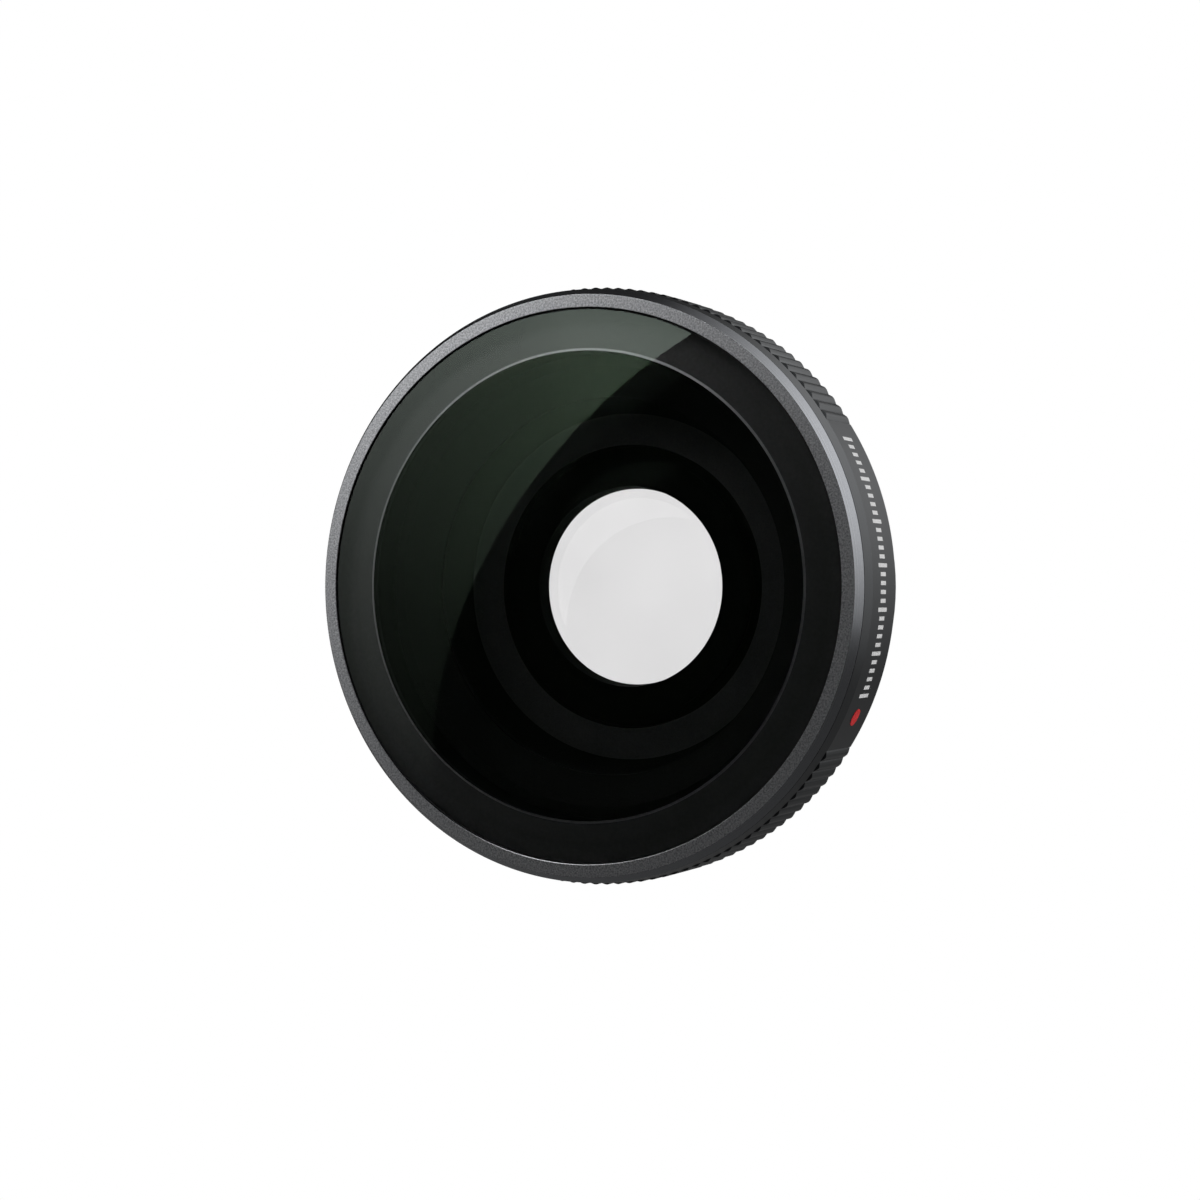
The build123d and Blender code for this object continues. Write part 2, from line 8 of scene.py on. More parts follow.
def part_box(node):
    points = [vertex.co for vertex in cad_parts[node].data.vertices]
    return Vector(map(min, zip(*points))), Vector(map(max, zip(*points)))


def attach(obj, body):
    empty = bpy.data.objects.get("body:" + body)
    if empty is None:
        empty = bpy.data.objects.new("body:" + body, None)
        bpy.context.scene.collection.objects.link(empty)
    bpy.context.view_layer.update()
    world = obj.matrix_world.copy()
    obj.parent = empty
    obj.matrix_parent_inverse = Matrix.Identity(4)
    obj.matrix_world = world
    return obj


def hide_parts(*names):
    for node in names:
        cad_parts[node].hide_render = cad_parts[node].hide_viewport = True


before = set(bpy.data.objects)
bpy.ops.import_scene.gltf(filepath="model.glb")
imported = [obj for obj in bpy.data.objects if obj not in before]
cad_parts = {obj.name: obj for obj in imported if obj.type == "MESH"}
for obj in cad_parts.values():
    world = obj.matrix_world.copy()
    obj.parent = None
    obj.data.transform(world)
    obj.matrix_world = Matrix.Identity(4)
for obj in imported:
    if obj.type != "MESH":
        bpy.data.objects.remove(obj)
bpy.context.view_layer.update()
print("frame loaded,", len(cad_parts), "CAD nodes")

mm = 0.001
fullTurn = 2 * math.pi
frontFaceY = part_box("front_bezel")[0].y  # depths are counted back from the bezel's front face
sameSpot = 0.004  # mm, points of a profile nearer than this are one point
spinSeam = 1e-5  # mm, joins the start and the end of a turned profile
cadSeam = 0.002  # mm, joins the loose triangles of a CAD mesh
cadSharp = 25  # degrees, the creases of a CAD mesh turn by more than this


def axisPoint(radius, depth):
    return Vector((radius * mm, frontFaceY + depth * mm, 0))


def turnProfile(profile, steps, closed=True):
    # profile is a list of (radius, depth) in mm, spun once round the optical axis
    bm = bmesh.new()
    verts = [bm.verts.new(axisPoint(radius, depth)) for radius, depth in profile]
    ends = verts[1:] + verts[:1] if closed else verts[1:]
    edges = [bm.edges.new(pair) for pair in zip(verts, ends)]
    bmesh.ops.spin(bm, geom=verts + edges, cent=(0, 0, 0), axis=(0, 1, 0), dvec=(0, 0, 0),
                   angle=fullTurn, steps=steps, use_merge=True)
    bmesh.ops.remove_doubles(bm, verts=bm.verts, dist=spinSeam * mm)
    bmesh.ops.recalc_face_normals(bm, faces=bm.faces)
    return bm


def axisRadius(point):
    return math.hypot(point.x, point.z) / mm


def depthOf(point):
    return (point.y - frontFaceY) / mm


def isAt(point, radius, depth):
    return abs(axisRadius(point) - radius) < sameSpot and abs(depthOf(point) - depth) < sameSpot


def ringEdges(bm, radius, depth):
    # the edges that run round the axis at one corner of the profile
    return [edge for edge in bm.edges if all(isAt(vert.co, radius, depth) for vert in edge.verts)]


def softenCorners(bm, corners, width, segments=3):
    # rounds corners of the profile; the rounding is shaded smooth, the flats beside it stay flat
    edges = [edge for radius, depth in corners for edge in ringEdges(bm, radius, depth)]
    made = bmesh.ops.bevel(bm, geom=edges, offset=width * mm, offset_type="OFFSET", segments=segments,
                           profile=0.5, affect="EDGES", clamp_overlap=False, material=-1)
    rounding = set(made["faces"])
    for edge in bm.edges:
        if len({face in rounding for face in edge.link_faces}) > 1:
            edge.smooth = False


def markSharp(bm, degrees):
    for edge in bm.edges:
        if len(edge.link_faces) == 2 and edge.calc_face_angle(0) > math.radians(degrees):
            edge.smooth = False


def sagOf(curvature, radius):
    return curvature - math.sqrt(curvature ** 2 - radius ** 2)


def domeArc(vertexDepth, curvature, rimRadius, count):
    # points of a lens surface from the axis to its rim; a positive curvature is centred behind
    side = math.copysign(1, curvature)
    radii = [rimRadius * math.sin(index / count * math.pi / 2) for index in range(count + 1)]
    return [(r, vertexDepth + side * sagOf(abs(curvature), r)) for r in radii]


def finishPiece(bm, name, materials, body, nodes):
    for face in bm.faces:
        face.smooth = True
    mesh = bpy.data.meshes.new(name)
    bm.to_mesh(mesh)
    bm.free()
    for material in materials:
        mesh.materials.append(material)
    piece = bpy.data.objects.new(name, mesh)
    bpy.context.scene.collection.objects.link(piece)
    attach(piece, body)
    if nodes:
        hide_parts(*nodes)
    return piece


def paintFaces(bm, index, test):
    # test gets a face's middle as radius and depth in mm, and its normal, whose y is -1 to the front
    for face in bm.faces:
        middle = face.calc_center_median()
        if test(axisRadius(middle), depthOf(middle), face.normal):
            face.material_index = index


def mergedCopy(node):
    # a CAD node's mesh with its loose triangles joined up
    bm = bmesh.new()
    bm.from_mesh(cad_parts[node].data)
    bmesh.ops.remove_doubles(bm, verts=bm.verts, dist=cadSeam * mm)
    return bm


def linear(hexColour):
    channels = [int(hexColour[i:i + 2], 16) / 255 for i in (0, 2, 4)]
    return tuple(c / 12.92 if c <= 0.04045 else ((c + 0.055) / 1.055) ** 2.4 for c in channels) + (1,)


def addNode(tree, kind, settings=None, inputs=None):
    # settings are the node's own properties; an input takes a value or another node's output
    node = tree.nodes.new(kind)
    for key, value in (settings or {}).items():
        setattr(node, key, value)
    for key, value in (inputs or {}).items():
        if isinstance(value, bpy.types.NodeSocket):
            tree.links.new(value, node.inputs[key])
        else:
            node.inputs[key].default_value = value
    return node


def newMaterial(name, shaderInputs):
    material = bpy.data.materials.new(name)
    material.use_nodes = True
    tree = material.node_tree
    shader = tree.nodes["Principled BSDF"]
    for key, value in shaderInputs.items():
        shader.inputs[key].default_value = value
    place = addNode(tree, "ShaderNodeTexCoord").outputs["Object"]
    return material, tree, shader, place


def ramp(tree, factor, stops):
    node = addNode(tree, "ShaderNodeValToRGB", inputs={"Fac": factor})
    elements = node.color_ramp.elements
    while len(elements) < len(stops):
        elements.new(0.5)
    for element, (position, colour) in zip(elements, stops):
        element.position = position
        element.color = colour
    return node.outputs["Color"]


def addGrain(tree, place, size, detail=2.0, roughness=0.5):
    # cloudy noise with a grain of this size in mm
    return addNode(tree, "ShaderNodeTexNoise", inputs={
        "Vector": place, "Scale": 1 / (size * mm), "Detail": detail,
        "Roughness": roughness}).outputs["Fac"]


def tonesOf(tree, level, dark, light, low=0.3):
    # a colour that wanders between two close tones, spread evenly about the level's middle
    return ramp(tree, level, [(low, linear(dark)), (1 - low, linear(light))])


def connect(tree, output, node, name="Base Color"):
    tree.links.new(output, node.inputs[name])


def addBump(tree, shader, height, strength, distance):
    bump = addNode(tree, "ShaderNodeBump", inputs={
        "Strength": strength, "Distance": distance * mm, "Height": height})
    connect(tree, bump.outputs["Normal"], shader, "Normal")


def beadBlastedAluminium():
    # 6061 aluminium, glass-bead blasted and clear anodised: an even sparkle of fine pits.
    # The real pits are 0.05 to 0.1 mm across; drawn at 0.14 mm so that they show.
    look = {"pit": 0.14, "dark": "BCBEC2", "light": "F6F7FA", "roughness": 0.34, "bump": 0.05,
            "pitDepth": 0.02, "low": 0.33}
    material, tree, shader, place = newMaterial("beadBlastedAluminium",
                                                {"Metallic": 1.0, "Roughness": look["roughness"]})
    pits = addGrain(tree, place, look["pit"], detail=1.0, roughness=0.6)
    connect(tree, tonesOf(tree, pits, look["dark"], look["light"], look["low"]), shader)
    addBump(tree, shader, pits, look["bump"], look["pitDepth"])
    return material


def turnedAluminium(name, dark, light, roughness):
    # turned on a lathe with a fine feed, then anodised: a satin skin with very fine rings round the axis
    look = {"feed": 0.08, "grain": 0.10, "bump": 0.12, "ringDepth": 0.004}
    material, tree, shader, place = newMaterial(name, {"Metallic": 1.0, "Roughness": roughness})
    split = addNode(tree, "ShaderNodeSeparateXYZ", inputs={"Vector": place})
    rings = addNode(tree, "ShaderNodeTexNoise", {"noise_dimensions": "1D"}, {
        "W": split.outputs["Y"], "Scale": 1 / (look["feed"] * mm), "Detail": 1.0}).outputs["Fac"]
    grain = addGrain(tree, place, look["grain"])
    both = addNode(tree, "ShaderNodeMix", {"data_type": "FLOAT"},
                   {"Factor": 0.5, "A": rings, "B": grain}).outputs["Result"]
    connect(tree, tonesOf(tree, both, dark, light), shader)
    addBump(tree, shader, both, look["bump"], look["ringDepth"])
    return material


def matteBlack(name, dark, light, roughness):
    # aluminium, sand-blasted and black anodised, as inside a lens: hardly any shine, a faint dusty grain
    look = {"grain": 0.12, "shine": 0.02, "bump": 0.2, "grainDepth": 0.01}
    material, tree, shader, place = newMaterial(name, {
        "Roughness": roughness, "Specular IOR Level": look["shine"]})
    grain = addGrain(tree, place, look["grain"])
    connect(tree, tonesOf(tree, grain, dark, light), shader)
    addBump(tree, shader, grain, look["bump"], look["grainDepth"])
    return material


def mottledSurface(name, shaderInputs, size, detail, dark, light, low=0.3):
    # an even surface whose tone wanders a little, with a grain of this size in mm
    material, tree, shader, place = newMaterial(name, shaderInputs)
    connect(tree, tonesOf(tree, addGrain(tree, place, size, detail), dark, light, low), shader)
    return material


def radiusFrom(tree, place, x, z):
    # distance in metres from a line parallel to the axis
    offset = addNode(tree, "ShaderNodeVectorMath", {"operation": "SUBTRACT"},
                     {0: place, 1: (x * mm, 0, z * mm)}).outputs["Vector"]
    flat = addNode(tree, "ShaderNodeVectorMath", {"operation": "MULTIPLY"},
                   {0: offset, 1: (1, 0, 1)}).outputs["Vector"]
    return addNode(tree, "ShaderNodeVectorMath", {"operation": "LENGTH"}, {0: flat}).outputs["Value"]


def stepAt(tree, radius, start, blend):
    # 0 up to the start in mm, 1 beyond the blend
    return addNode(tree, "ShaderNodeMapRange", inputs={
        "Value": radius, "From Min": start * mm, "From Max": (start + blend) * mm}).outputs["Result"]


opticalGlass = {"index": 1.52, "image": (0.68, 1.0, 0.70, 1), "cloud": 8.0, "dark": "FAFAFA",
                "light": "FCFCFC"}


def coatedGlass(name, share, band=None, ghostCrescent=None):
    # polished optical crown glass, index 1.52, with a vapour-deposited anti-reflection coating.
    # The coating leaves this share of the bare glass's mirror image and tints it green. Outside the
    # band's circle, which lies over the seat as the lens is looked at, the mirror image is made stronger
    # and
    # less green, more so towards the left: a painted reflection standing in for the mirror image of the
    # lacquered seat behind. A crescent where the glass passes a little more light is a painted
    # reflection too, standing in for a ghost image mirrored inside the lens.
    o = opticalGlass
    material, tree, shader, place = newMaterial(name, {
        "Roughness": 0.0, "IOR": o["index"], "Transmission Weight": 1.0, "Specular Tint": o["image"]})
    # painted reflection: a crescent of brighter glass colour stands in for a ghost image inside the lens
    if ghostCrescent:
        inside, outside = [
            stepAt(tree, radiusFrom(tree, place, x, z), radius, ghostCrescent["blend"])
            for x, z, radius in (ghostCrescent["inside"], ghostCrescent["outside"])]
        lit = addNode(tree, "ShaderNodeMath", {"operation": "SUBTRACT", "use_clamp": True},
                      {0: outside, 1: inside}).outputs["Value"]
        body = ramp(tree, lit, [(0.0, linear(ghostCrescent["plain"])), (1.0, linear(ghostCrescent["bright"]))])
    else:
        body = tonesOf(tree, addGrain(tree, place, o["cloud"], detail=1.0), o["dark"], o["light"])
    connect(tree, body, shader)
    passed = addNode(tree, "ShaderNodeBsdfRefraction",
                     inputs={"Color": body, "Roughness": 0.0, "IOR": o["index"]})
    mix = addNode(tree, "ShaderNodeMixShader", inputs={
        "Fac": share, 1: passed.outputs["BSDF"], 2: shader.outputs["BSDF"]})
    tree.links.new(mix.outputs["Shader"], tree.nodes["Material Output"].inputs["Surface"])
    # painted reflection: outside the band the front glass mirrors more, and more still towards the left
    # (-x)
    if band:
        outside = stepAt(tree, radiusFrom(tree, place, *band["centre"]), band["radius"], band["blend"])
        across = addNode(tree, "ShaderNodeSeparateXYZ", inputs={"Vector": place}).outputs["X"]
        most = addNode(tree, "ShaderNodeMapRange", inputs={
            "Value": across, "From Min": band["from"] * mm, "From Max": band["to"] * mm,
            "To Min": band["share"], "To Max": band["leftShare"]}).outputs["Result"]
        amount = addNode(tree, "ShaderNodeMix", {"data_type": "FLOAT"}, {
            "Factor": outside, "A": share, "B": most}).outputs["Result"]
        connect(tree, ramp(tree, outside, [(0.0, o["image"]), (1.0, band["image"])]), shader,
                "Specular Tint")
        connect(tree, amount, mix, "Fac")
    return material


def leaningNormal(tree, place, degrees):
    # the normal of a surface that leans outwards from the axis by this angle
    lean = math.radians(degrees)
    flat = addNode(tree, "ShaderNodeVectorMath", {"operation": "MULTIPLY"},
                   {0: place, 1: (1, 0, 1)}).outputs["Vector"]
    outwards = addNode(tree, "ShaderNodeVectorMath", {"operation": "NORMALIZE"},
                       {0: flat}).outputs["Vector"]
    leaning = addNode(tree, "ShaderNodeVectorMath", {"operation": "MULTIPLY_ADD"}, {
        0: outwards, 1: (math.sin(lean),) * 3, 2: (0, -math.cos(lean), 0)}).outputs["Vector"]
    return addNode(tree, "ShaderNodeVectorTransform", {
        "vector_type": "NORMAL", "convert_from": "OBJECT", "convert_to": "WORLD"},
        {"Vector": leaning}).outputs["Vector"]


def lacqueredSeat():
    # satin black lacquer over the fine grooves of the ground seat at the back of the front glass,
    # seen through the glass; the grooves lean outwards. Towards the rim the lacquer is painted lighter:
    # painted light that fills the shade the bezel casts on the seat's outer part.
    look = {"lean": 18.0, "grain": 0.3, "paintedLightFrom": 20.3, "paintedLightOver": 1.6, "seatTones": ("343535", "3C3D3D"),
            "paintedLitRimTones": ("4C4D4D", "565757")}
    material, tree, shader, place = newMaterial("lacqueredGlassSeat", {
        "Roughness": 0.5, "Specular IOR Level": 0.5})
    grain = addGrain(tree, place, look["grain"])
    # painted light: the seat's colour turns lighter towards the rim, where the bezel shades it
    outer = stepAt(tree, radiusFrom(tree, place, 0, 0), look["paintedLightFrom"], look["paintedLightOver"])
    seatColour = addNode(tree, "ShaderNodeMixRGB", inputs={
        "Fac": outer, "Color1": tonesOf(tree, grain, *look["seatTones"]),
        "Color2": tonesOf(tree, grain, *look["paintedLitRimTones"])})
    connect(tree, seatColour.outputs["Color"], shader)
    connect(tree, leaningNormal(tree, place, look["lean"]), shader, "Normal")
    return material


def silveredRim():
    # a narrow band of silvered glass round the seat's inner edge, seen through the glass
    look = {"lean": 19.0, "grain": 0.2, "dark": "8C8E90", "light": "969899"}
    material, tree, shader, place = newMaterial("silveredRim", {"Metallic": 1.0, "Roughness": 0.45})
    grain = addGrain(tree, place, look["grain"])
    connect(tree, tonesOf(tree, grain, look["dark"], look["light"]), shader)
    connect(tree, leaningNormal(tree, place, look["lean"]), shader, "Normal")
    return material


blasted = beadBlastedAluminium()
satin = turnedAluminium("satinAluminium", "8E9094", "A0A2A6", 0.25)
gripSatin = turnedAluminium("darkAnodisedAluminium", "414345", "4B4D4F", 0.36)
black = matteBlack("blackAnodised", "080808", "0D0D0D", 0.7)
baffleBlack = matteBlack("blackAnodisedBaffle", "121212", "181818", 0.7)
# a lighter copy of the barrel's black anodise for its flange face deep inside the lens: painted light
flangeBlackPaintedLight = matteBlack("blackAnodisedFlangePaintedLight", "464646", "4E4E4E", 0.6)
trimBlack = matteBlack("blackTrim", "202121", "282929", 0.5)
groundEdge = matteBlack("groundEdgePaint", "1A1B1B", "222323", 0.6)
seatLacquer = lacqueredSeat()
rimMetal = silveredRim()
# black nitrile rubber, moulded: matte with a faint bloom
rubber = mottledSurface("nitrileRubber", {"Roughness": 0.65}, 0.5, 3.0, "121212", "1B1B1B", 0.35)
# stainless steel, turned or drawn: bright with fine lines
steel = mottledSurface("stainlessSteel", {"Metallic": 1.0, "Roughness": 0.28}, 0.08, 2.0,
                       "A9A8A5", "C4C3C0")
# skived PTFE: waxy white with faint lines
ptfe = mottledSurface("skivedPtfe", {"Roughness": 0.45}, 0.6, 2.0, "E2E1DC", "EFEEEA")
# stoved red enamel in a shallow well: even, slightly glossy
enamel = mottledSurface("redEnamel", {"Roughness": 0.35, "Specular IOR Level": 0.25}, 0.4, 1.0,
                        "E01E22", "EA2428")
# pad-printed white ink, opaque and matte
ink = mottledSurface("whiteInk", {"Roughness": 0.35}, 0.1, 1.0, "F2F2F2", "FFFFFF")
# painted reflection on the crown glass, standing in for a ghost image: bright inside the first circle
# (x, z, radius in mm) and outside the second
paintedGhostCrescent = {"inside": (0.32, -0.18, 7.84), "outside": (3.24, -3.98, 9.90), "blend": 0.06,
               "plain": "F8F8F8", "bright": "FDFDFD"}
# painted reflection: outside this circle, placed as the lens is looked at, the front glass mirrors more
paintedReflectionBand = {"centre": (0.755, -0.01), "radius": 18.62, "blend": 0.04, "share": 0.76,
            "leftShare": 1.0, "from": -4.0, "to": -19.0, "image": (0.82, 1.0, 0.86, 1)}
frontShare, innerShare = 0.32, 0.028  # of the bare glass's mirror image
frontGlass = coatedGlass("coatedFrontGlass", frontShare, paintedReflectionBand)
innerGlass = coatedGlass("coatedInnerGlass", innerShare)
crownGlassFront = coatedGlass("coatedCrownFront", innerShare, ghostCrescent=paintedGhostCrescent)
print("materials made")


bezel = {"opening": 22.17, "face": 23.20, "faceDrop": 0.050, "edgeBreak": 0.04, "rim": 23.72,
         "chamferDepth": 0.86, "skirt": 23.10, "skirtEnd": 4.52, "bore": 22.65, "lip": 0.85,
         "faceRound": 0.01, "edgeRound": 0.05, "blastedDepth": 0.1, "steps": 450, "sharp": 43}


def makeBezel():
    b = bezel
    face, rim = (b["face"], b["faceDrop"]), (b["rim"], b["chamferDepth"])
    skirt, bore = (b["skirt"], b["skirtEnd"]), (b["bore"], b["skirtEnd"])
    bm = turnProfile([
        (b["opening"], b["edgeBreak"]), (b["opening"] + b["edgeBreak"], 0), face, rim,
        (b["skirt"], b["chamferDepth"]), skirt, bore, (b["bore"], b["lip"]),
        (b["opening"], b["lip"])], b["steps"])
    paintFaces(bm, 1, lambda radius, depth, normal: not (normal.y < -0.6 and depth < b["blastedDepth"]))
    softenCorners(bm, [face], b["faceRound"])
    softenCorners(bm, [rim], b["edgeRound"])
    softenCorners(bm, [skirt, bore], b["edgeRound"])
    markSharp(bm, b["sharp"])
    finishPiece(bm, "bezelRing", [blasted, satin], "barrel", ["front_bezel"])


gasket = {"inner": 22.08, "leg": 22.15, "flat": 22.61, "legTop": 0.15, "lip": 0.86, "bottom": 0.99,
          "round": 0.05, "steps": 300, "sharp": 50}


def makeGasket():
    g = gasket
    legCorners = [(g["inner"], g["legTop"]), (g["leg"], g["legTop"])]
    bm = turnProfile(legCorners + [
        (g["leg"], g["lip"]), (g["flat"], g["lip"]), (g["flat"], g["bottom"]),
        (g["inner"], g["bottom"])], g["steps"])
    softenCorners(bm, legCorners, g["round"])
    markSharp(bm, g["sharp"])
    finishPiece(bm, "frontGasket", [rubber], "barrel", ["front_seal"])


dome = {"edge": 22.06, "edgeDepth": 0.10, "seat": 2.04, "shoulder": 22.60, "shoulderDepth": 1.01,
        "vertex": -4.1091, "curvature": 60.0, "rearVertex": -1.6101, "rearZone": 18.60, "rimBand": 18.36,
        "bevel": 0.06, "near": 0.1, "rings": 44, "steps": 384, "sharp": 12}


def makeDome():
    d = dome
    front = domeArc(d["vertex"], d["curvature"], d["edge"] - d["bevel"], d["rings"])
    drop = d["seat"] - d["rearVertex"]
    rearCurvature = (d["rearZone"] ** 2 + drop ** 2) / (2 * drop)
    back = domeArc(d["rearVertex"], rearCurvature, d["rearZone"], d["rings"])
    edge = [(d["edge"], d["edgeDepth"] + d["bevel"]), (d["edge"], d["shoulderDepth"]),
            (d["shoulder"], d["shoulderDepth"]), (d["shoulder"], d["seat"])]
    bm = turnProfile(front + edge + back[::-1], d["steps"], closed=False)
    rimDepth = front[-1][1]
    # inner glass and its silvered rim at the back, the ground shoulder, the lacquered seat and edge
    paintFaces(bm, 1, lambda radius, depth, normal: radius < d["rimBand"] and normal.y > 0)
    paintFaces(bm, 4, lambda radius, depth, normal: d["rimBand"] < radius < d["rearZone"]
               and normal.y > 0)
    paintFaces(bm, 2, lambda radius, depth, normal: radius > d["edge"] + d["near"] and depth > rimDepth)
    paintFaces(bm, 3, lambda radius, depth, normal: radius > d["rearZone"] and normal.y > 0.9)
    paintFaces(bm, 3, lambda radius, depth, normal: abs(radius - d["edge"]) < d["near"]
               and rimDepth < depth < d["shoulderDepth"] and abs(normal.y) < 0.1)
    markSharp(bm, d["sharp"])
    finishPiece(bm, "frontGlass", [frontGlass, innerGlass, groundEdge, seatLacquer, rimMetal], "barrel",
                ["front_element"])


trim = {"bore": 18.52, "chamfer": 0.26, "front": 2.06, "rear": 2.65, "outer": 22.61, "steps": 256,
        "sharp": 30}


def makeTrimRing():
    t = trim
    bm = turnProfile([
        (t["bore"] + t["chamfer"], t["front"]), (t["outer"], t["front"]), (t["outer"], t["rear"]),
        (t["bore"], t["rear"]), (t["bore"], t["front"] + t["chamfer"])], t["steps"])
    paintFaces(bm, 1, lambda radius, depth, normal: radius < t["bore"] + t["chamfer"]
               and depth < t["front"] + t["chamfer"] and abs(normal.y) > 0.2)
    markSharp(bm, t["sharp"])
    finishPiece(bm, "trimRing", [trimBlack, black], "barrel", ["front_trim_ring"])


makeBezel()
makeGasket()
makeDome()
makeTrimRing()
print("front group made")


barrel = {"mouth": 18.60, "nose": 22.62, "front": 2.67, "flangeRear": 4.60, "bearing": 19.60,
          "groove": 19.0, "landEnd": 9.0, "tail": 18.60, "taperEnd": 10.0, "rear": 19.4975,
          "tailChamfer": 0.30, "pilot": 16.50, "pilotRound": 0.04, "floor": 18.0975,
          "sealOuter": 15.40, "sealInner": 13.80, "sealDepth": 17.4975, "cell": 12.40,
          "flangeFront": 12.83, "flangeBack": 13.62, "flangeBore": 11.88, "pocket": 17.24,
          "pocketFront": 7.02, "near": 0.1, "steps": 256, "sharp": 30}


def makeBarrel():
    b = barrel
    grooveFront, grooveRear = [b["rear"] + corner.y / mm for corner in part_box("ring_circlip")]
    profile = [
        (b["mouth"], b["front"]), (b["nose"], b["front"]), (b["nose"], b["flangeRear"]),
        (b["bearing"], b["flangeRear"]), (b["bearing"], grooveFront), (b["groove"], grooveFront),
        (b["groove"], grooveRear), (b["bearing"], grooveRear), (b["bearing"], b["landEnd"]),
        (b["tail"], b["taperEnd"]), (b["tail"], b["rear"] - b["tailChamfer"]),
        (b["tail"] - b["tailChamfer"], b["rear"]), (b["pilot"], b["rear"]),
        (b["pilot"], b["floor"]), (b["sealOuter"], b["floor"]), (b["sealOuter"], b["sealDepth"]),
        (b["sealInner"], b["sealDepth"]), (b["sealInner"], b["floor"]), (b["cell"], b["floor"]),
        (b["cell"], b["flangeBack"]), (b["flangeBore"], b["flangeBack"]),
        (b["flangeBore"], b["flangeFront"]), (b["pocket"], b["flangeFront"]),
        (b["pocket"], b["pocketFront"]), (b["mouth"], b["pocketFront"])]
    bm = turnProfile(profile, b["steps"])
    # the flange face gets the lighter copy of the black anodise: painted light
    paintFaces(bm, 1, lambda radius, depth, normal: radius < b["pocket"]
               and abs(depth - b["flangeFront"]) < b["near"])
    softenCorners(bm, [(b["pilot"], b["rear"])], b["pilotRound"])
    markSharp(bm, b["sharp"])
    finishPiece(bm, "barrelBody", [black, flangeBlackPaintedLight], "barrel", ["main_barrel"])


baffle = {"rim": 17.68, "outer": 18.57, "front": 4.90, "bore": 15.38, "coneEnd": 6.62, "rear": 7.01,
          "steps": 256, "sharp": 30}


def makeBaffle():
    b = baffle
    bm = turnProfile([
        (b["rim"], b["front"]), (b["outer"], b["front"]), (b["outer"], b["rear"]),
        (b["bore"], b["rear"]), (b["bore"], b["coneEnd"])], b["steps"])
    markSharp(bm, b["sharp"])
    finishPiece(bm, "baffleCone", [baffleBlack], "barrel", ["front_baffle"])


middle = {"radius": 17.20, "front": 7.03, "rear": 12.81, "frontZone": 15.20, "rearZone": 14.25,
          "frontCurvature": 160.0, "rearCurvature": 40.0, "bevel": 0.10, "rings": 32, "steps": 240,
          "sharp": 4}


def makeMiddleGlass():
    m = middle
    frontVertex = m["front"] - sagOf(m["frontCurvature"], m["frontZone"])
    rearVertex = m["rear"] - sagOf(m["rearCurvature"], m["rearZone"])
    front = domeArc(frontVertex, m["frontCurvature"], m["frontZone"], m["rings"])
    back = domeArc(rearVertex, m["rearCurvature"], m["rearZone"], m["rings"])
    edge = [(m["radius"] - m["bevel"], m["front"]), (m["radius"], m["front"] + m["bevel"]),
            (m["radius"], m["rear"] - m["bevel"]), (m["radius"] - m["bevel"], m["rear"])]
    bm = turnProfile(front + edge + back[::-1], m["steps"], closed=False)
    paintFaces(bm, 1, lambda radius, depth, normal: radius > m["frontZone"]
               or (radius > m["rearZone"] and depth > (m["front"] + m["rear"]) / 2))
    markSharp(bm, m["sharp"])
    finishPiece(bm, "middleGlass", [innerGlass, groundEdge], "barrel",
                ["middle_element"])


aperture = {"hole": 8.50, "boss": 11.02, "bossFront": 12.62, "flange": 12.36, "flangeFront": 13.63,
            "rear": 14.12, "round": 0.05, "steps": 240, "sharp": 30}


def makeAperture():
    a = aperture
    bm = turnProfile([
        (a["hole"], a["bossFront"]), (a["boss"], a["bossFront"]), (a["boss"], a["flangeFront"]),
        (a["flange"], a["flangeFront"]), (a["flange"], a["rear"]), (a["hole"], a["rear"])],
        a["steps"])
    softenCorners(bm, [(a["hole"], a["bossFront"])], a["round"])
    markSharp(bm, a["sharp"])
    finishPiece(bm, "apertureRing", [black], "barrel", ["aperture_ring"])


makeBarrel()
makeBaffle()
makeMiddleGlass()
makeAperture()
print("barrel, baffle, middle glass and aperture made")


doublet = {"radius": 12.36, "crownVertex": 13.3297, "crownCurvature": 45.0, "cementCurvature": 60.0,
           "crownEdge": 0.45, "flintCentre": 0.70, "cementGap": 0.01, "rings": 20, "steps": 200,
           "sharp": 30}


def makeRearGlasses():
    r = doublet
    cementRim = r["crownVertex"] + sagOf(r["crownCurvature"], r["radius"]) + r["crownEdge"]
    cementVertex = cementRim + sagOf(r["cementCurvature"], r["radius"])
    crownFront = domeArc(r["crownVertex"], r["crownCurvature"], r["radius"], r["rings"])
    crownRear = domeArc(cementVertex - r["cementGap"], -r["cementCurvature"], r["radius"], r["rings"])
    bm = turnProfile(crownFront + crownRear[::-1], r["steps"], closed=False)
    paintFaces(bm, 1, lambda radius, depth, normal: abs(normal.y) < 0.3)
    paintFaces(bm, 2, lambda radius, depth, normal: normal.y < -0.3)
    markSharp(bm, r["sharp"])
    finishPiece(bm, "crownGlass", [innerGlass, groundEdge, crownGlassFront], "barrel",
                ["rear_crown_element"])
    flintFront = domeArc(cementVertex, -r["cementCurvature"], r["radius"], r["rings"])
    flintRear = cementVertex + r["flintCentre"]
    bm = turnProfile(flintFront + [(r["radius"], flintRear), (0, flintRear)], r["steps"], closed=False)
    paintFaces(bm, 1, lambda radius, depth, normal: abs(normal.y) < 0.3)
    markSharp(bm, r["sharp"])
    finishPiece(bm, "flintGlass", [innerGlass, groundEdge], "barrel",
                ["rear_flint_element"])


makeRearGlasses()


def makeFromCad(name, node, material, body):
    bm = mergedCopy(node)
    markSharp(bm, cadSharp)
    finishPiece(bm, name, [material], body, [node])


makeFromCad("rearRetainer", "rear_retainer", black, "barrel")
makeFromCad("cameraSeal", "camera_seal", rubber, "barrel")
makeFromCad("locatingPin", "locating_pin", steel, "barrel")
makeFromCad("clawRing", "claw_ring", gripSatin, "lock_ring")
makeFromCad("clawScrews", "claw_ring_screws", steel, "lock_ring")
print("rear group made")


